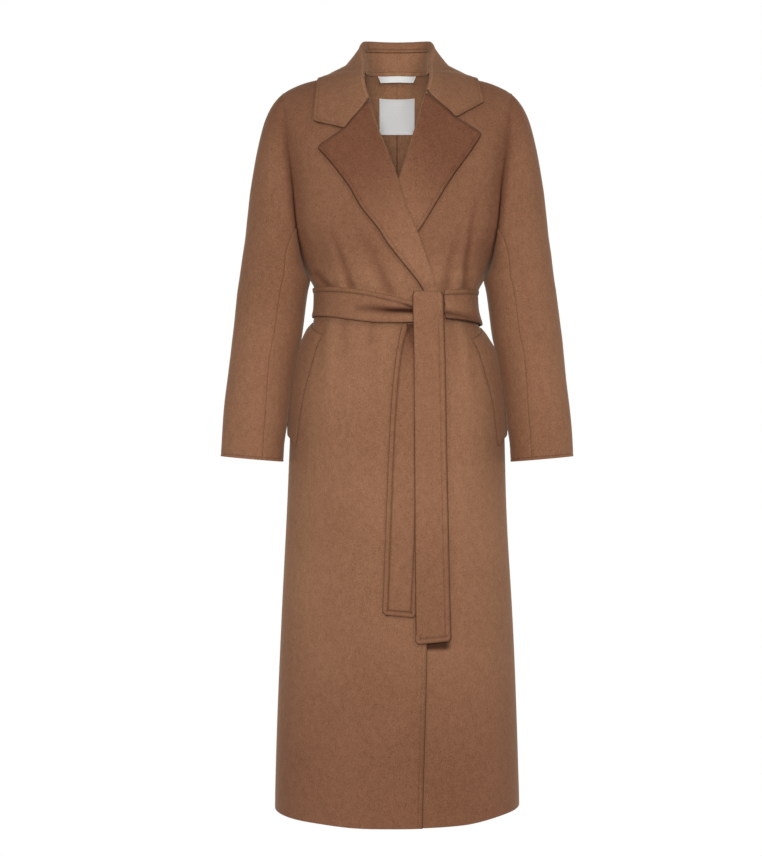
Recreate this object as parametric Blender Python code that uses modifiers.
"""Long wool wrap coat with notched lapels, kimono sleeves and a tied belt.

Worn shape without a wearer.  Tables are in millimetres: x to the wearer's
left, y to the back, z up from the hem.  `out` is the distance from the middle
towards a side, so one table serves both halves; `hand` is -1 for the wearer's
right half and +1 for the left.  `face` is -1 for the front and +1 for the back.
"""
import math
from bisect import bisect_right
from collections import namedtuple

import bmesh
import bpy

MM = 0.001
WALL = 2.4            # cloth
BELT_WALL = 3.2       # belt, two layers of cloth
TAPE_WALL = 1.0       # loop and label
HALF_SEAM = 0.28      # each panel stops this far short of its seam
SHOULDER_SEAM = 0.4   # the same along the shoulder and overarm seam
HOLD_HEIGHT = 1206.0  # neck point of the shoulder seam above the hem; origin
CHEST = 1000.0        # level sections end here, the shoulder dome begins
ARMPIT = 866.0
SPLIT = 945.0         # under-sleeve panel reaches up to here
CREASE_REACH = 172.5  # the sleeve crease ends this far above CHEST
LAPEL_GAP = 2.6       # air in the fold of a lapel

RIGHT, LEFT = -1, 1
FRONT, BACK = -1, 1

Body = namedtuple("Body", "height half_width front back power")
BODY = (
    Body(0, 201, 165, 152, 2.05),
    Body(107, 198, 161, 151, 2.05),
    Body(305, 190, 153, 149, 2.08),
    Body(503, 180, 145, 147, 2.10),
    Body(597, 177, 140, 146, 2.12),
    Body(650, 175.5, 137, 145, 2.14),
    Body(690, 171.5, 133, 141, 2.15),
    Body(742, 161, 126, 131, 2.15),
    Body(777, 149, 118, 119, 2.16),
    Body(797, 140, 112, 110, 2.18),
    Body(820, 134.5, 107, 104, 2.20),
    Body(838, 133.5, 107, 103, 2.20),
    Body(852, 135.5, 109, 104, 2.20),
    Body(866, 142, 110.5, 106, 2.20),
    Body(898, 152, 113, 109, 2.20),
    Body(945, 165, 117, 113, 2.20),
    Body(1000, 175, 119, 116, 2.20),
)

Sleeve = namedtuple("Sleeve", "height centre half_width front back middle seam")
SLEEVE = (
    Sleeve(555, 236.5, 51.0, 55, 56, -35, 24.5),
    Sleeve(577, 235.6, 51.0, 56, 57, -34, 24.5),
    Sleeve(650, 230.9, 51.4, 58, 60, -30, 24.5),
    Sleeve(690, 227.0, 51.3, 60, 63, -26, 22.5),
    Sleeve(738, 220.4, 53.0, 64, 67, -19, 19.0),
    Sleeve(777, 212.3, 56.8, 67, 70, -12, 17.0),
    Sleeve(817, 207.6, 57.0, 70, 72, -5, 17.0),
    Sleeve(848, 204.0, 57.6, 72, 74, -1, 18.0),
    Sleeve(866, 200.6, 58.6, 73, 75, 0, 19.0),
    Sleeve(898, 197.6, 57.9, 75, 77, 0, 21.5),
    Sleeve(945, 190.2, 58.6, 77, 79, 0, 26.0),
    Sleeve(1000, 186.6, 56.4, 78, 81, 0, 26.0),
)

# Shoulder line and overarm outline seen from the front.
Outline = namedtuple("Outline", "out front back")
OUTLINE = (
    Outline(0, 1206, 1267),
    Outline(6, 1206, 1266.6),
    Outline(20, 1206, 1258),
    Outline(40, 1206, 1228),
    Outline(57, 1206, 1206),
    Outline(90, 1203, 1203),
    Outline(124, 1198, 1198),
    Outline(150, 1193, 1193),
    Outline(176, 1181, 1181),
    Outline(188, 1172.5, 1172.5),
    Outline(203, 1156, 1156),
    Outline(216, 1130, 1130),
    Outline(229, 1081, 1081),
    Outline(243, 1000, 1000),
)

# Deepest line between chest and sleeve above the level sections.
Crease = namedtuple("Crease", "height out")
CREASE = (
    Crease(1000, 161.9), Crease(1050, 168), Crease(1097, 177),
    Crease(1140, 184), Crease(1172.5, 188),
)

# Free front edge, then the roll line, then the neck seam, as signed `out`.
Edge = namedtuple("Edge", "height over under")
FRONT_EDGE = (
    Edge(0, -39.5, -39.5),
    Edge(283, -46.5, -46.5),
    Edge(600, -52, -52),
    Edge(780, -57, -57),
    Edge(835, -60, -60),
    Edge(887, -46.8, -46),
    Edge(929, -31.5, -31),
    Edge(975, -12.6, -13),
    Edge(1014, -1.6, 1.6),
    Edge(1061, 15.8, 17),
    Edge(1097, 30.2, 28.4),
    Edge(1150, 45, 42.5),
    Edge(1165, 50.5, 48.5),
    Edge(1184, 55.5, 55),
    Edge(1206, 57, 57),
)

# Largest folds: a trough (minus) or ridge (plus) between two points.
Fold = namedtuple("Fold", "face hand out0 high0 out1 high1 width lift")
FOLDS = (
    Fold(FRONT, RIGHT, 100, 920, 72, 845, 7, -3.0),
    Fold(FRONT, RIGHT, 60, 930, 14, 840, 13, -3.0),
    Fold(FRONT, RIGHT, 122, 868, 108, 848, 6, -3.5),
    Fold(FRONT, LEFT, 118, 955, 110, 850, 8, -3.5),
    Fold(FRONT, LEFT, 90, 930, 78, 850, 12, -2.5),
    Fold(FRONT, RIGHT, 92, 725, 80, 600, 22, 3.0),
    Fold(FRONT, LEFT, 96, 725, 92, 580, 24, 3.0),
    Fold(BACK, RIGHT, 95, 935, 70, 850, 9, -3.5),
    Fold(BACK, RIGHT, 40, 920, 30, 845, 12, -3.0),
    Fold(BACK, LEFT, 104, 940, 82, 850, 8, -3.5),
    Fold(BACK, LEFT, 48, 915, 36, 845, 12, -3.0),
    Fold(BACK, RIGHT, 60, 725, 66, 540, 26, 4.0),
    Fold(BACK, LEFT, 66, 725, 70, 540, 26, 4.0),
)


def slopes_of(at, value):
    """Slope at each row of a curve that never overshoots its rows."""
    step = [(value[i + 1] - value[i]) / (at[i + 1] - at[i]) for i in range(len(at) - 1)]
    slope = [step[0]]
    for before, after in zip(step, step[1:]):
        slope.append(0.0 if before * after <= 0 else 2 * before * after / (before + after))
    slope.append(step[-1])
    return slope


class Curve:
    """Smooth curve through one column of a table."""

    def __init__(self, rows, at, column):
        order = sorted(rows, key=lambda row: getattr(row, at))
        self.at = [float(getattr(row, at)) for row in order]
        self.value = [float(getattr(row, column)) for row in order]
        self.slope = slopes_of(self.at, self.value)

    def __call__(self, where):
        at = self.at
        where = min(max(where, at[0]), at[-1])
        i = min(bisect_right(at, where), len(at) - 1) - 1
        span = at[i + 1] - at[i]
        t = (where - at[i]) / span
        low, high = self.value[i], self.value[i + 1]
        start, end = self.slope[i] * span, self.slope[i + 1] * span
        rise = high - low
        return low + t * (start + t * (3 * rise - 2 * start - end + t * (start + end - 2 * rise)))


def curves(rows, at, *columns):
    return {column: Curve(rows, at, column) for column in columns}


BODY_AT = curves(BODY, "height", "half_width", "front", "back", "power")
SLEEVE_AT = curves(SLEEVE, "height", "centre", "half_width", "front", "back", "middle", "seam")
TOP_AT = curves(OUTLINE, "out", "front", "back")
CREASE_AT = Curve(CREASE, "height", "out")
EDGE_AT = curves(FRONT_EDGE, "height", "over", "under")


def lerp(a, b, t):
    return a + (b - a) * t


def smooth(low, high, value):
    t = min(max((value - low) / (high - low), 0.0), 1.0)
    return t * t * (3 - 2 * t)


def side_name(face):
    return "front" if face == FRONT else "back"


def sleeve_point(height, turn):
    """Sleeve ring; turn 0 faces front, 90 the outer arm, 180 back, 270 the body."""
    ring = {name: curve(height) for name, curve in SLEEVE_AT.items()}
    cosine = math.cos(math.radians(turn))
    depth = ring["front"] if cosine > 0 else ring["back"]
    out = ring["centre"] + ring["half_width"] * math.sin(math.radians(turn))
    return out, ring["middle"] - depth * cosine


def under_turn(height, across):
    """Turn of the under-sleeve panel: across 0 front seam, 1 back seam."""
    seam = SLEEVE_AT["seam"](height)
    return lerp(360 - seam, 180 + seam, across)


def underarm_height(across):
    """Height of the armhole seam over the under-sleeve panel."""
    return ARMPIT + (SPLIT - ARMPIT) * abs(1 - 2 * across) ** 1.16


def crease_point(face, height):
    """Where the body meets the sleeve between the armpit and the chest."""
    share = min(max((height - ARMPIT) / (SPLIT - ARMPIT), 0.0), 1.0) ** (1 / 1.16)
    across = 0.5 * (1 - share) if face == FRONT else 0.5 * (1 + share)
    out, y = sleeve_point(height, under_turn(height, across))
    return out, face * y


def body_section(face, height):
    """Half width, depth and power of the body section at a height."""
    depth = BODY_AT[side_name(face)](height)
    power = BODY_AT["power"](height)
    if height <= ARMPIT:
        return BODY_AT["half_width"](height), depth, power
    out, deep = crease_point(face, height)
    inside = 1 - (max(deep, 0.0) / depth) ** power
    return out / inside ** (1 / power), depth, power


def overarm_out(height):
    """Where the outline of the sleeve lies at a height between the chest and its tip."""
    low, high = CREASE[-1].out, OUTLINE[-1].out
    for _ in range(40):
        middle = (low + high) / 2
        if TOP_AT["front"](middle) > height:
            low = middle
        else:
            high = middle
    return low


def level_depth(face, out, height):
    """Depth of the cloth at a level section, body or sleeve."""
    width, depth, power = body_section(face, height)
    return depth * (1 - min(abs(out) / width, 1.0) ** power) ** (1 / power)


CHEST_SECTION = {face: body_section(face, CHEST) for face in (FRONT, BACK)}


def chest_depth(face, out):
    """Depth of body and sleeve together at the chest level."""
    out = abs(out)
    crease = CREASE_AT(CHEST)
    if out <= crease:
        width, depth, power = CHEST_SECTION[face]
        return depth * (1 - (out / width) ** power) ** (1 / power)
    centre, half = SLEEVE_AT["centre"](CHEST), SLEEVE_AT["half_width"](CHEST)
    share = min(abs(out - centre) / half, 1.0)
    return SLEEVE_AT[side_name(face)](CHEST) * math.sqrt(1 - share * share)


def chest_out(out, height):
    """Moves `out` down to the chest level so that the crease keeps its line."""
    out = abs(out)
    base, crease = CREASE_AT(CHEST), CREASE_AT(height)
    if out <= crease:
        return out * base / crease
    edge = overarm_out(height)
    if out >= edge:
        return out
    return base + (out - crease) * (edge - base) / (edge - crease)


def surface_depth(face, out, height):
    """Depth of the cloth anywhere on the body or shoulder."""
    if height <= CHEST:
        return level_depth(face, out, height)
    top = TOP_AT[side_name(face)](abs(out))
    rise = min((height - CHEST) / max(top - CHEST, 1e-6), 1.0)
    return chest_depth(face, chest_out(out, height)) * math.sqrt(1 - rise * rise)


def fold_lift(face, hand, out, height):
    """Sum of the folds at a point."""
    lift = 0.0
    for fold in FOLDS:
        if fold.face != face or fold.hand != hand:
            continue
        run_out, run_up = fold.out1 - fold.out0, fold.high1 - fold.high0
        length = math.hypot(run_out, run_up)
        away_out, away_up = out - fold.out0, height - fold.high0
        along = (away_out * run_out + away_up * run_up) / length
        side = (away_out * run_up - away_up * run_out) / length
        past = max(-along, along - length, 0.0)
        lift += fold.lift * math.exp(-(side / fold.width) ** 2 - (past / (1.2 * fold.width)) ** 2)
    return lift


def overlap_lift(hand, out, height):
    """Room between the two fronts where they overlap; more where lapels lie between."""
    lapels = smooth(836, 876, height) * (1 - smooth(1015, 1080, height))
    if hand == RIGHT:
        return (1.0 + 2.5 * lapels) * (1 - smooth(50, 125, out)) * (1 - smooth(1015, 1100, height))
    fade = 1 - smooth(1040, 1120, height)
    return -(2.9 + 2.4 * lapels) * (1 - smooth(50, 115, out)) * fade


def lift_of(face, hand, out, height):
    lift = fold_lift(face, hand, out, height)
    if face == FRONT:
        lift += overlap_lift(hand, out, height) + fold_lift(FRONT, -hand, -out, height)
    return lift


def cloth_depth(face, hand, out, height):
    """Depth of the outer face of a panel, folds and overlap included."""
    deep = surface_depth(face, out, height)
    fade = 1.0
    if height > CHEST:
        top = TOP_AT[side_name(face)](abs(out))
        fade = 1 - min((height - CHEST) / (top - CHEST), 1.0)
    return deep + fade * lift_of(face, hand, out, height)


def inner_edge(face, hand, height):
    """Signed `out` of the centre edge of a panel."""
    if face == BACK:
        return HALF_SEAM
    return EDGE_AT["over" if hand == RIGHT else "under"](height)


def level_point(face, hand, across, height):
    """Panel point at a level section; across 0 centre edge, 1 side seam or crease."""
    width, depth, power = body_section(face, height)
    start = inner_edge(face, hand, height)
    first = math.atan2(start, level_depth(face, start, height))
    if height <= ARMPIT:
        last = math.pi / 2 - HALF_SEAM / width
    else:
        out, deep = crease_point(face, height)
        last = math.atan2(out, deep) - (HALF_SEAM / out if height < SPLIT else 0.0)
    angle = lerp(first, last, across)
    sine, cosine = math.sin(angle), math.cos(angle)
    reach = (abs(sine / width) ** power + abs(cosine / depth) ** power) ** (-1 / power)
    if height > SPLIT - 1e-6 and across == 1.0:
        return out, deep
    fade = 1 - smooth(0.9, 1.0, across) if height > ARMPIT else 1.0
    reach += fade * lift_of(face, hand, reach * sine, height)
    return reach * sine, reach * cosine


def neck_height(out):
    """Height of the neck seam across the back."""
    return 1219 - 13 * min(abs(out) / 57, 1.0) ** 2


def dome_rise(face, out, sine):
    """Share of the shoulder height for a row of the dome."""
    if face == FRONT or out >= 57:
        return sine
    top = TOP_AT["back"](out)
    last = math.asin((neck_height(out) - CHEST) / (top - CHEST))
    return math.sin(math.asin(sine) / (math.pi / 2) * last)


def dome_point(face, hand, across, sine):
    """Body point on the shoulder dome; sine runs 0 at the chest to 1 at the seam."""
    base_in = inner_edge(face, hand, CHEST)
    base_out = CREASE_AT(CHEST)
    share = (level_point(face, hand, across, CHEST)[0] - base_in) / (base_out - base_in)
    if face == FRONT:
        start = inner_edge(face, hand, CHEST + 206 * sine)
    else:
        start = HALF_SEAM
    out = lerp(start, CREASE_AT(CHEST + CREASE_REACH * sine), share)
    rise = dome_rise(face, out, sine)
    height = CHEST + (TOP_AT[side_name(face)](abs(out)) - CHEST) * rise
    deep = surface_depth(face, out, height)
    deep = lerp(cloth_depth(face, hand, out, height), deep, smooth(0.9, 1.0, across))
    return out, max(deep, SHOULDER_SEAM), height


def sleeve_dome_point(face, across, sine):
    """Sleeve point on the shoulder dome; across 0 crease, 1 overarm seam."""
    start = 360 - SLEEVE_AT["seam"](CHEST)
    turn = lerp(start - 360, 90, across)
    first = math.sin(math.radians(start))
    share = (math.sin(math.radians(turn)) - first) / (1 - first)
    out_c = CREASE_AT(CHEST + CREASE_REACH * sine)
    high_c = CHEST + (TOP_AT["front"](out_c) - CHEST) * sine
    high_o = CHEST + CREASE_REACH * sine
    out = lerp(out_c, overarm_out(high_o), share)
    height = lerp(high_c, high_o, share)
    return out, max(surface_depth(face, out, height), SHOULDER_SEAM), height


def panel_sleeve_point(face, across, height):
    """Outer sleeve from the crease or sleeve seam (0) to the overarm seam (1)."""
    seam = SLEEVE_AT["seam"](height)
    half = math.degrees(HALF_SEAM / SLEEVE_AT["half_width"](height))
    start = -seam + (half if height < SPLIT else 0.0)
    turn = lerp(start, 90 - half, across)
    if face == BACK:
        turn = 180 - turn
    out, y = sleeve_point(height, turn)
    return out, y


def cuff_height(turn):
    return 571.5 + 4.5 * math.sin(math.radians(turn))


def steps(count, edge=0.0):
    """Even shares from 0 to 1, with a narrow strip at each end if wanted."""
    shares = [i / count for i in range(count + 1)]
    if edge:
        shares = [0.0, edge] + shares[1:-1] + [1 - edge, 1.0]
    return shares


def place(hand, out, y, height):
    return (hand * out * MM, y * MM, (height - HOLD_HEIGHT) * MM)


def add_sheet(bm, columns, rows, point):
    """Grid of shares mapped by point(u, v)."""
    made = bmesh.ops.create_grid(bm, x_segments=len(columns) - 1, y_segments=len(rows) - 1, size=0.5)
    verts = made["verts"]
    for index, vert in enumerate(verts):
        u = columns[index % len(columns)]
        v = rows[index // len(columns)]
        vert.co = point(u, v)
    return verts


def finish(name, bm, outward, thickness, collection, material, grow=-1.0):
    """Makes the object, faces turned so `outward` holds for the middle face."""
    bmesh.ops.remove_doubles(bm, verts=bm.verts[:], dist=0.5 * MM)
    bmesh.ops.recalc_face_normals(bm, faces=bm.faces[:])
    bm.faces.ensure_lookup_table()
    votes = sum(outward(face.calc_center_median(), face.normal) for face in bm.faces)
    if votes < 0:
        bmesh.ops.reverse_faces(bm, faces=bm.faces[:])
    mesh = bpy.data.meshes.new(name)
    bm.to_mesh(mesh)
    bm.free()
    mesh.materials.append(material)
    item = bpy.data.objects.new(name, mesh)
    collection.objects.link(item)
    shell = item.modifiers.new("wall", "SOLIDIFY")
    shell.thickness = thickness * MM
    shell.offset = grow
    shell.use_even_offset = False
    return item


# ---------------------------------------------------------------- lapels

# Free edge of each lapel, by share of the way from the break to the gorge.
LapelEdge = namedtuple("LapelEdge", "share out height")
LAPEL_OVER = (
    LapelEdge(0, -49, 816), LapelEdge(0.07, -42, 836), LapelEdge(0.276, -6, 884),
    LapelEdge(0.39, 15.8, 912), LapelEdge(0.47, 29, 933), LapelEdge(0.61, 56.7, 968),
    LapelEdge(0.72, 73.5, 998), LapelEdge(0.89, 104.5, 1041), LapelEdge(1, 127, 1067),
)
LAPEL_UNDER = (
    LapelEdge(0, -30, 866), LapelEdge(0.12, -6, 884), LapelEdge(0.25, 14, 908),
    LapelEdge(0.38, 35.5, 934), LapelEdge(0.56, 62.9, 978), LapelEdge(0.73, 90.4, 1022),
    LapelEdge(0.87, 115, 1057), LapelEdge(1, 135.5, 1090),
)
# Heights where a lapel starts and meets the collar, and how far its upper edge dips.
Lapel = namedtuple("Lapel", "start gorge dip_out dip_high puff")
LAPEL = {RIGHT: Lapel(820, 1146, -3.9, -7, 2.2), LEFT: Lapel(876, 1163, 0.9, -7, 1.2)}
LAPEL_EDGE = {
    RIGHT: curves(LAPEL_OVER, "share", "out", "height"),
    LEFT: curves(LAPEL_UNDER, "share", "out", "height"),
}
# Turn of the fold, then share of the lapel's width.
ROLL_TURNS = (0, 60, 120)


def lapel_offset(hand, wide, along):
    """Air between the lapel and the chest."""
    lapel = LAPEL[hand]
    puff = lapel.puff * math.sin(math.pi * min(wide * 1.5, 1.0)) * smooth(0.25, 0.7, along)
    return lerp(LAPEL_GAP, 1.5, smooth(0, 0.6, wide)) + puff


def lapel_point(hand, wide, height):
    """Face of the lapel turned to the chest; wide below 0 runs round the fold."""
    lapel = LAPEL[hand]
    if height <= CHEST:
        roll, deep = level_point(FRONT, hand, 0, height)
    else:
        roll, deep, _ = dome_point(FRONT, hand, 0, (height - CHEST) / 206)
    if wide < 0:
        turn = math.radians(180 * (1 + wide))
        lift = LAPEL_GAP / 2 * (1 - math.cos(turn))
        return roll - LAPEL_GAP / 2 * math.sin(turn), -deep - lift, height
    along = (height - lapel.start) / (lapel.gorge - lapel.start)
    bend = (1 - abs(2 * wide - 1)) ** 1.2 * along ** 6
    out = lerp(roll, LAPEL_EDGE[hand]["out"](along), wide) + lapel.dip_out * bend
    high = lerp(height, LAPEL_EDGE[hand]["height"](along), wide) + lapel.dip_high * bend
    deep = cloth_depth(FRONT, hand, out, high) + lapel_offset(hand, wide, along)
    return out, -deep, high


# ---------------------------------------------------------------- collar

# Roll line and free edge by share of the way from the centre back to the gorge.
Collar = namedtuple("Collar", "share roll_out roll_y roll_high edge_out edge_y edge_high")
COLLAR_OVER = (
    Collar(0, 0, 75, 1275, 0, 90, 1194),
    Collar(0.15, 30, 72, 1274.5, 42, 86, 1192),
    Collar(0.3, 51, 55, 1269, 84, 64, 1187),
    Collar(0.4, 58, 24, 1251, 108, 38, 1188),
    Collar(0.5, 57, -1, 1228, 124, 8, 1199),
    Collar(0.62, 57, -2, 1228, 129, -30, 1187),
    Collar(0.8, 57, -2, 1228, 131, -58, 1152),
    Collar(1, 57, -2, 1228, 134, -76, 1110),
)
COLLAR_UNDER = (
    Collar(0, 0, 75, 1275, 0, 90, 1194),
    Collar(0.15, 30, 72, 1274.5, 42, 86, 1192),
    Collar(0.3, 51, 55, 1269, 84, 64, 1187),
    Collar(0.4, 58, 24, 1251, 108, 38, 1188),
    Collar(0.5, 57, -1, 1228, 124, 8, 1199),
    Collar(0.62, 57, -2, 1228, 131, -25, 1189),
    Collar(0.8, 57, -2, 1228, 135, -44, 1170),
    Collar(1, 57, -2, 1228, 139.5, -58, 1144),
)
COLLAR_AT = {
    RIGHT: curves(COLLAR_OVER, "share", *Collar._fields[1:]),
    LEFT: curves(COLLAR_UNDER, "share", *Collar._fields[1:]),
}
# Roll line in front of the shoulder seam: inward of the neck seam and above the cloth.
Roll = namedtuple("Roll", "share inward lift")
ROLL = (
    Roll(0.5, 0, 22), Roll(0.56, 1.6, 13), Roll(0.62, 2.8, 8), Roll(0.7, 3.4, 5.6), Roll(1, 3.4, 5.0),
)
ROLL_AT = curves(ROLL, "share", "inward", "lift")
# Share of the collar's front end where the notch with the lapel lies.
NOTCH = {RIGHT: 0.42, LEFT: 0.48}
STAND_END = 0.472
STAND_SHARE = 0.74
GORGE_GAP = 0.009      # the neck seam's share left open at the lapel
STAND_SEAM = 1.2       # between stand and fall
NECK_AIR = 1.3         # under the fold of the collar
BAND_WIDTH = 5.8
BAND_AIR = 1.6
FALL_SHARES = (0, 0.08, 0.17, 0.25, 0.33, 0.42, 0.5, 0.55, 0.62, 0.7, 0.8, 0.9, 1)
LOOP_HALF, LOOP_TOP = 32.0, 1211.0
LABEL_HALF, LABEL_LOW, LABEL_HIGH = 30.0, 1118.0, 1180.0


def neck_share(out):
    """Place on the back neck seam by its direction from the middle of the neck."""
    return math.atan2(out, surface_depth(BACK, out, neck_height(out))) / math.pi


NeckPlace = namedtuple("NeckPlace", "share out")
NECK_OUT = Curve([NeckPlace(neck_share(out), out) for out in range(0, 55, 3)] + [NeckPlace(0.5, 57)],
                 "share", "out")


def neck_point(hand, share):
    """Neck seam: 0 centre back, 0.5 shoulder, 1 gorge."""
    if share <= 0.5:
        out = NECK_OUT(share)
        height = neck_height(out)
        y = out / math.tan(math.pi * share) if share > 0.3 else 0.0
        return out, max(surface_depth(BACK, out, height), y), height
    last = math.asin((LAPEL[hand].gorge - CHEST) / 206)
    height = CHEST + 206 * math.sin(lerp(math.pi / 2, last, 2 * share - 1))
    out = inner_edge(FRONT, hand, height)
    return out, -surface_depth(FRONT, out, height), height


def clear_of_shoulder(out, y, height, room):
    """Moves a point out of the shoulder until it has that much room."""
    face = FRONT if y < 0 else BACK
    top = TOP_AT[side_name(face)](abs(out)) - CHEST
    rise, deep = (height - CHEST) / top, abs(y) / chest_depth(face, chest_out(out, height))
    reach = math.hypot(rise, deep)
    wanted = 1 + room / math.hypot(height - CHEST, y)
    if reach < wanted and height > CHEST:
        scale = wanted / reach
        return out, y * scale, CHEST + (height - CHEST) * scale
    return out, y, height


def minus(a, b):
    return tuple(p - q for p, q in zip(a, b))


def unit(a):
    length = math.sqrt(sum(p * p for p in a)) or 1.0
    return tuple(p / length for p in a)


def cross(a, b):
    return (a[1] * b[2] - a[2] * b[1], a[2] * b[0] - a[0] * b[2], a[0] * b[1] - a[1] * b[0])


def shift(a, b, scale):
    return tuple(p + q * scale for p, q in zip(a, b))


def neck_normal(seam):
    """Direction out of the shoulder at a point of the neck seam."""
    out, y, height = seam
    if y >= 0:
        return 0.0, 0.0, 1.0
    depth, top = chest_depth(FRONT, chest_out(out, height)), TOP_AT["front"](abs(out)) - CHEST
    return unit((0.0, y / depth ** 2, (height - CHEST) / top ** 2))


def roll_point(hand, share):
    """Roll line: from its table behind the shoulder seam, low over the neck seam in front."""
    if share <= 0.5:
        return tuple(COLLAR_AT[hand][name](share) for name in ("roll_out", "roll_y", "roll_high"))
    seam = neck_point(hand, share - GORGE_GAP * smooth(0.8, 1.0, share))
    over = shift(seam, neck_normal(seam), ROLL_AT["lift"](share))
    return shift(over, (-1, 0, 0), ROLL_AT["inward"](share))


def collar_frame(hand, share):
    """Neck seam, roll and edge points with the crest and outward directions."""
    edge = tuple(COLLAR_AT[hand][name](share) for name in ("edge_out", "edge_y", "edge_high"))
    roll = roll_point(hand, share)
    seam = neck_point(hand, share - GORGE_GAP * smooth(0.8, 1.0, share))
    inward = 1.2 * smooth(0.1, 0.4, share)
    neck = shift(shift(seam, neck_normal(seam), 1.2 + 0.6 * share), (-1, 0, 0), inward)
    run = unit(minus(roll_point(hand, min(share + 0.02, 1)), roll_point(hand, max(share - 0.02, 0))))
    stand = minus(roll, neck)
    tall = math.sqrt(sum(p * p for p in stand))
    crest = unit(shift(stand, run, -sum(a * b for a, b in zip(stand, run))))
    return neck, roll, edge, crest, cross(crest, run), tall


def collar_end(hand, wide, start, edge):
    """Front end of the collar: sewn along the gorge to the notch, then free."""
    notch = NOTCH[hand]
    gorge = shift(lapel_point(hand, 0.5 * min(wide / notch, 1.0), LAPEL[hand].gorge), (0.9, -0.4, 1.5), 1)
    if wide <= notch:
        return tuple(lerp(a, b, smooth(0, 0.15, wide)) for a, b in zip(start, gorge))
    return tuple(lerp(a, b, (wide - notch) / (1 - notch)) for a, b in zip(gorge, edge))


def collar_point(hand, share, across):
    """Hidden face of the collar: 0 neck seam, 1 stand top, 2 fall top, 3 free edge."""
    neck, roll, edge, crest, outward, tall = collar_frame(hand, share)
    radius = min(4.0, 1.2 + tall / 16)
    inner = shift(shift(roll, outward, -radius), crest, -radius)
    outer = shift(shift(roll, outward, radius), crest, -radius)
    if across <= 1:
        return tuple(lerp(a, b, across) for a, b in zip(neck, inner))
    if across < 2:
        turn = math.pi * (across - 1)
        middle = shift(shift(roll, crest, -radius), outward, -radius * math.cos(turn))
        return shift(middle, crest, radius * math.sin(turn))
    wide = across - 2
    end = collar_end(hand, wide, outer, edge)
    chord = tuple(lerp(a, b, wide) for a, b in zip(outer, edge))
    out, y, height = shift(chord, minus(end, chord), smooth(0.66, 1.0, share) ** 3)
    swell = 9 * math.sin(math.pi * wide) * (1 - smooth(0.45, 0.8, share))
    room = 3.2 + 2.2 * math.sin(math.pi * min(wide * 1.3, 1))
    out, y, height = shift((out, y, height), crest, swell * 0.5)
    back = clear_of_shoulder(out, y, height, room)
    chest = y
    if height < TOP_AT["front"](out):
        wanted = -cloth_depth(FRONT, hand, out, height) - room
        chest = lerp(y, min(y, wanted), smooth(0, 0.07, wide))
    along = smooth(0.5, 0.66, share)
    mixed = tuple(lerp(a, b, along) for a, b in zip(back, (out, chest, height)))
    return clear_of_shoulder(*mixed, lerp(NECK_AIR, 0.9 * room, smooth(0, 0.07, wide)))


# ---------------------------------------------------------------- belt

# Edges of the belt round the waist, by turn from the front (minus: wearer's right).
Belt = namedtuple("Belt", "turn bottom top")
BELT = (
    Belt(-335, 799, 834), Belt(-320, 794, 840), Belt(-270, 791, 847),
    Belt(-180, 797, 850), Belt(-90, 804, 851), Belt(-60, 800, 848),
    Belt(-25, 789, 838), Belt(-10, 786, 831), Belt(5, 786, 824), Belt(20, 787, 816),
)
BELT_AT = curves(BELT, "turn", "bottom", "top")
# Tails, by height: left and right edge to the wearer's left, and air above the skirt.
Tail = namedtuple("Tail", "height low_x high_x air")
TAIL_FRONT = (
    Tail(288, 29.0, 83.0, 2.4), Tail(312, 28.8, 82.5, 5.0), Tail(345, 28.5, 81.5, 5.1),
    Tail(560, 27.0, 77.0, 5.1), Tail(743, 26.0, 74.0, 5.2), Tail(784, 25.0, 73.0, 6.4),
    Tail(812, 24.5, 72.0, 6.8), Tail(832, 24.5, 71.5, 6.6),
)
TAIL_BACK = (
    Tail(329, -21.5, 28.0, 1.0), Tail(480, -16, 35.5, 1.0), Tail(634, -9.5, 42, 1.0),
    Tail(697, -4.7, 47, 1.0), Tail(743, 1, 51, 0.9), Tail(770, 7, 48, 0.8), Tail(783, 10, 42, 0.8),
)
TAIL_AT = {
    "belt_tail_front": curves(TAIL_FRONT, "height", "low_x", "high_x", "air"),
    "belt_tail_back": curves(TAIL_BACK, "height", "low_x", "high_x", "air"),
}


def ring_point(turn, height, lift):
    """Point round the body: turn from the front in degrees, positive to the left."""
    turn = (turn + 180) % 360 - 180
    face = FRONT if abs(turn) <= 90 else BACK
    width, depth, power = body_section(face, height)
    sine, cosine = math.sin(math.radians(turn)), math.cos(math.radians(turn))
    reach = (abs(sine / width) ** power + abs(cosine / depth) ** power) ** (-1 / power)
    reach += lift
    return reach * sine, -reach * cosine


def belt_point(turn, up):
    height = lerp(BELT_AT["bottom"](turn), BELT_AT["top"](turn), up)
    room = 1.9 + 1.2 * smooth(-12, 16, turn) + 1.0 * smooth(-320, -335, turn)
    x, y = ring_point(turn, height, room)
    return place(1, x, y, height)


def tail_point(name, across, height):
    at = TAIL_AT[name]
    x = lerp(at["low_x"](height), at["high_x"](height), across)
    deep = level_depth(FRONT, x, height) + 1.0 * (1 - smooth(40, 125, -x)) + at["air"](height)
    return place(1, x, -deep, height)


# ---------------------------------------------------------------- pocket welts

# Sewn edge and open edge of a welt: turn from the front and height.
Welt = namedtuple("Welt", "share sewn_turn sewn_high open_turn open_high")
WELT = (
    Welt(0, 69, 593, 86.5, 613), Welt(0.45, 63.5, 673, 86.5, 694),
    Welt(0.75, 59.4, 727, 86, 748), Welt(1, 57.7, 771, 84.5, 794),
)
WELT_AT = curves(WELT, "share", *Welt._fields[1:])


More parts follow.
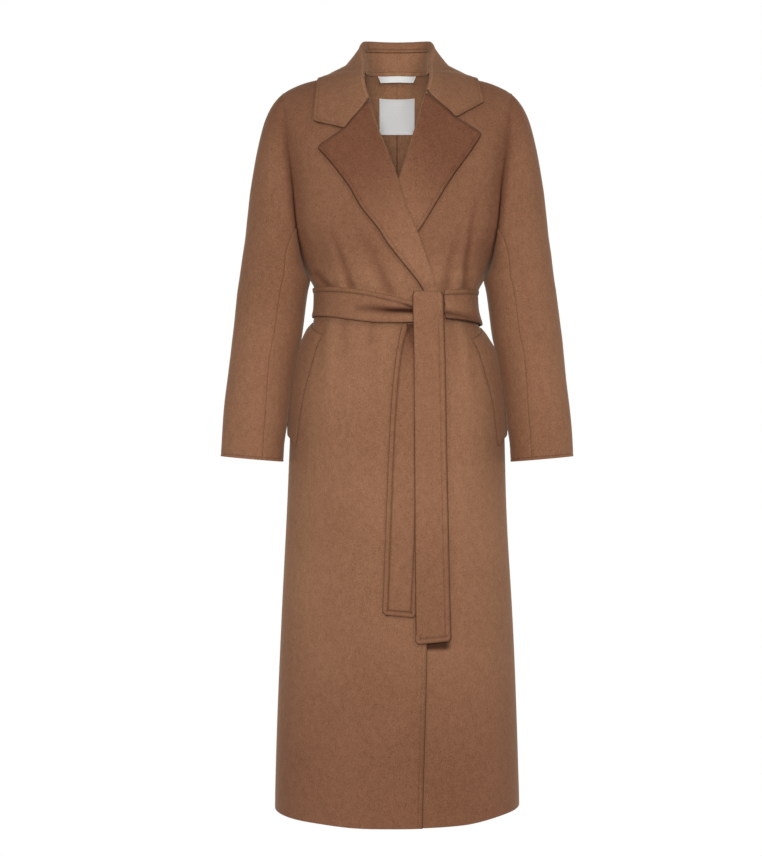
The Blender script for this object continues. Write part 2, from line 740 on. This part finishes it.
def welt_point(hand, across, up):
    up *= 1.0 if hand == RIGHT else 0.955
    turn = lerp(WELT_AT["sewn_turn"](up), WELT_AT["open_turn"](up), across)
    height = lerp(WELT_AT["sewn_high"](up), WELT_AT["open_high"](up), across)
    x, _ = ring_point(turn, height, 0)
    lift = fold_lift(FRONT, hand, x, height)
    x, y = ring_point(turn, height, 1.0 + max(lift, 0))
    return place(hand, x, y, height)


# ---------------------------------------------------------------- building

LEVELS = {
    FRONT: (0, 70, 150, 240, 330, 420, 510, 590, 650, 695, 735, 765, 790, 812, 820,
            836, 852, 866, 876, 890, 905, 920, 934, SPLIT, 972, CHEST),
    BACK: (0, 80, 175, 275, 375, 475, 560, 630, 685, 730, 765, 795, 820, 838, 852,
           866, 882, 902, 920, 934, SPLIT, 972, CHEST),
}
SINES = {
    (FRONT, RIGHT): (0.14, 0.28, 0.42, 0.56, 0.7087, 0.81, 0.89, 0.95, 0.985, 0.9995, 1.0),
    (FRONT, LEFT): (0.14, 0.28, 0.42, 0.56, 0.68, 0.7913, 0.88, 0.945, 0.985, 0.9995, 1.0),
    (BACK, RIGHT): (0.2, 0.4, 0.58, 0.74, 0.86, 0.94, 0.985, 0.9995, 1.0),
    (BACK, LEFT): (0.2, 0.4, 0.58, 0.74, 0.86, 0.94, 0.985, 0.9995, 1.0),
}
SLEEVE_SHARES = (0.0, 0.1, 0.2, 0.3, 0.4, 0.5, 0.6, 0.7, 0.8, 0.9, 0.955)
BODY_STEPS = {FRONT: 12, BACK: 12}


def build_panel(face, hand):
    """Body, outer sleeve and, on a front, the lapel."""
    bm = bmesh.new()
    levels = [("level", height) for height in LEVELS[face]]
    dome = [("dome", sine) for sine in SINES[face, hand]]

    def body(across, row):
        kind, value = row
        if kind == "level":
            out, deep = level_point(face, hand, across, value)
            return place(hand, out, face * deep, value)
        out, deep, height = dome_point(face, hand, across, value)
        return place(hand, out, face * deep, height)

    def sleeve(across, row):
        kind, value = row
        if kind == "dome":
            if value > 0.98:
                across = round(2 * across) / 2
            out, deep, height = sleeve_dome_point(face, across, value)
            return place(hand, out, face * deep, height)
        if kind == "share":
            turn = lerp(-SLEEVE_AT["seam"](577), 90, across)
            height = lerp(cuff_height(turn), SPLIT, value)
        else:
            height = value
        out, y = panel_sleeve_point(face, across, height)
        return place(hand, out, y, height)

    add_sheet(bm, steps(BODY_STEPS[face], 0.012), levels + dome, body)
    arm = [("share", share) for share in SLEEVE_SHARES]
    arm += [("level", height) for height in LEVELS[face] if height >= SPLIT] + dome
    add_sheet(bm, [0.0, 0.02] + steps(6)[1:-1] + [0.985, 1.0], arm, sleeve)
    if face == FRONT:
        start, gorge = LAPEL[hand].start, LAPEL[hand].gorge
        rows = [h for h in LEVELS[FRONT] if h >= start]
        rows += [CHEST + 206 * sine for sine in SINES[FRONT, hand] if CHEST + 206 * sine < gorge + 0.1]
        widths = [turn / 180 - 1 for turn in ROLL_TURNS] + [0.0, 0.1, 0.25, 0.5, 0.75, 0.9, 1.0]
        add_sheet(bm, widths, rows, lambda wide, height: place(hand, *lapel_point(hand, wide, height)))
    return bm


def build_under_sleeve(hand):
    bm = bmesh.new()

    def point(across, share):
        inset = 3.6 * HALF_SEAM / 170
        side = lerp(inset, 1 - inset, across)
        cuff = cuff_height(under_turn(577, side))
        height = lerp(underarm_height(side) - 7 * HALF_SEAM - 6 * smooth(915, 945, underarm_height(side)), cuff, share)
        inset += 0.008 * smooth(915, 940, height)
        out, y = sleeve_point(height, under_turn(height, lerp(inset, 1 - inset, across)))
        return place(hand, out, y, height)

    rows = [0.0, 0.01] + [1 - share for share in reversed(SLEEVE_SHARES)]
    add_sheet(bm, steps(10, 0.015), rows, point)
    return bm


def neck_shares(hand, last):
    """Places round the neck where the panels have their own points."""
    shares = [0.0]
    for across in steps(BODY_STEPS[BACK]):
        out = dome_point(BACK, hand, across, 1.0)[0]
        if 3 < out < 55:
            shares.append(neck_share(out))
    end = math.asin((LAPEL[hand].gorge - CHEST) / 206)
    if last < 0.5:
        return shares + [last]
    for sine in sorted(SINES[FRONT, hand], reverse=True):
        share = 1 - 0.5 * (math.asin(sine) - end) / (math.pi / 2 - end)
        if share <= 1 + 1e-3 and sine not in (0.9995,):
            shares.append(min(share, 1.0))
    return shares


def neck_rounds(last):
    """Both halves, with a place added between the panel points past the back."""
    halves = []
    for hand in (RIGHT, LEFT):
        shares = neck_shares(hand, last)
        halves.append(sorted(shares + [(a + b) / 2 for a, b in zip(shares, shares[1:]) if b > 0.2]))
    return [-share for share in reversed(halves[0][1:])] + halves[1]


def collar_place(across, turn):
    hand = RIGHT if turn < 0 else LEFT
    return place(hand, *collar_point(hand, abs(turn), across))


def build_stand():
    bm = bmesh.new()
    add_sheet(bm, [STAND_SHARE * share for share in steps(3)], neck_rounds(STAND_END), collar_place)
    return bm


def build_fall():
    """Roll and fall round the whole neck; in front of the shoulders it reaches the seam."""
    bm = bmesh.new()
    rounds = neck_rounds(1.0)

    def stand_place(up, turn):
        tall = collar_frame(RIGHT if turn < 0 else LEFT, abs(turn))[-1]
        return collar_place(up * (STAND_SHARE + STAND_SEAM / tall), turn)

    def fall_place(share, turn):
        return stand_place(1.0, turn) if share < 0 else collar_place(1 + 2 * share, turn)

    add_sheet(bm, (-1,) + FALL_SHARES, rounds, fall_place)
    for hand in (RIGHT, LEFT):
        front = [turn for turn in rounds if hand * turn >= 0.5]
        add_sheet(bm, [0.0, 0.5, 1.0], front, stand_place)
    return bm


def band_point(across, turn):
    """Strip over the neck seam, inside; across 0 below the seam, 1 above."""
    hand = RIGHT if turn < 0 else LEFT
    out, y, height = neck_point(hand, abs(turn))
    inward = unit((-out, -y, 0.0))
    out, y, _ = shift((out, y, height), inward, WALL + BAND_AIR)
    return place(hand, out, y, height + (across - 0.5) * BAND_WIDTH)


def inside_back(x, height, air):
    """Point in front of the inner face of the back."""
    return surface_depth(BACK, abs(x), height) - WALL - air


def loop_point(across, along):
    """Tape loop below the neck seam, sewn at both ends and bowed off the back."""
    x = lerp(-LOOP_HALF, LOOP_HALF, along)
    bow = math.sin(math.pi * along)
    height = LOOP_TOP - 10.5 * (1 - across) - 2.5 * bow
    y = inside_back(x, height, 4.4 - 1.2 * bow)
    return place(1, x, y, height)


def label_point(across, up):
    x = lerp(-LABEL_HALF, LABEL_HALF, across)
    height = lerp(LABEL_LOW, LABEL_HIGH, up)
    return place(1, x, inside_back(x, height, 2.4), height)


def build_strip(columns, rows, point):
    bm = bmesh.new()
    add_sheet(bm, columns, rows, point)
    return bm


def from_axis(centre, normal):
    """Positive when a face looks away from the middle of the body."""
    return normal.x * centre.x + normal.y * centre.y + 0.02 * normal.z


def towards_axis(centre, normal):
    return -from_axis(centre, normal)


def from_sleeve(centre, normal):
    height = centre.z / MM + HOLD_HEIGHT
    hand = RIGHT if centre.x < 0 else LEFT
    middle_x = hand * SLEEVE_AT["centre"](height) * MM
    middle_y = SLEEVE_AT["middle"](height) * MM
    return normal.x * (centre.x - middle_x) + normal.y * (centre.y - middle_y)


def fall_hidden(centre, normal):
    """Positive when the face of the collar's fall looks to the body."""
    return towards_axis(centre, normal) - 0.05 * normal.z


def make_material(name, colour, roughness):
    material = bpy.data.materials.new(name)
    material.use_nodes = True
    shader = material.node_tree.nodes["Principled BSDF"]
    shader.inputs["Base Color"].default_value = colour
    shader.inputs["Roughness"].default_value = roughness
    return material


def main():
    for item in list(bpy.data.objects):
        bpy.data.objects.remove(item, do_unlink=True)
    scene = bpy.context.scene
    parts = bpy.data.collections.new("wool_wrap_coat")
    scene.collection.children.link(parts)
    wool = make_material("camel_wool", (0.28, 0.135, 0.075, 1.0), 0.9)
    satin = make_material("cream_satin", (0.75, 0.73, 0.68, 1.0), 0.4)

    side = {RIGHT: "right", LEFT: "left"}
    for hand in (RIGHT, LEFT):
        finish(f"front_{side[hand]}", build_panel(FRONT, hand), from_axis, WALL, parts, wool)
        finish(f"back_{side[hand]}", build_panel(BACK, hand), from_axis, WALL, parts, wool)
        sleeve = build_under_sleeve(hand)
        finish(f"under_sleeve_{side[hand]}", sleeve, from_sleeve, WALL, parts, wool)
        welt = build_strip(steps(4), steps(8), lambda u, v: welt_point(hand, u, v))
        finish(f"pocket_welt_{side[hand]}", welt, towards_axis, WALL - 0.2, parts, wool)

    finish("collar_stand", build_stand(), from_axis, WALL, parts, wool)
    finish("collar_fall", build_fall(), fall_hidden, WALL, parts, wool)
    band = build_strip(steps(1), neck_rounds(0.42), band_point)
    finish("neck_band", band, from_axis, 1.0, parts, wool)

    turns = [lerp(-322, 20, t) for t in steps(44)]
    belt = build_strip(steps(3), turns, lambda u, v: belt_point(v, u))
    finish("belt_waist", belt, towards_axis, BELT_WALL, parts, wool)
    for name, rows in (("belt_tail_front", TAIL_FRONT), ("belt_tail_back", TAIL_BACK)):
        low, high = rows[0].height, rows[-1].height
        heights = [lerp(low, high, t) for t in steps(18)]
        tail = build_strip(steps(3), heights, lambda u, v, name=name: tail_point(name, u, v))
        finish(name, tail, towards_axis, BELT_WALL, parts, wool)

    loop = build_strip(steps(1), steps(10), loop_point)
    finish("hanger_loop", loop, from_axis, TAPE_WALL, parts, satin)
    label = build_strip(steps(4), steps(4), label_point)
    finish("maker_label", label, from_axis, TAPE_WALL, parts, satin)


main()
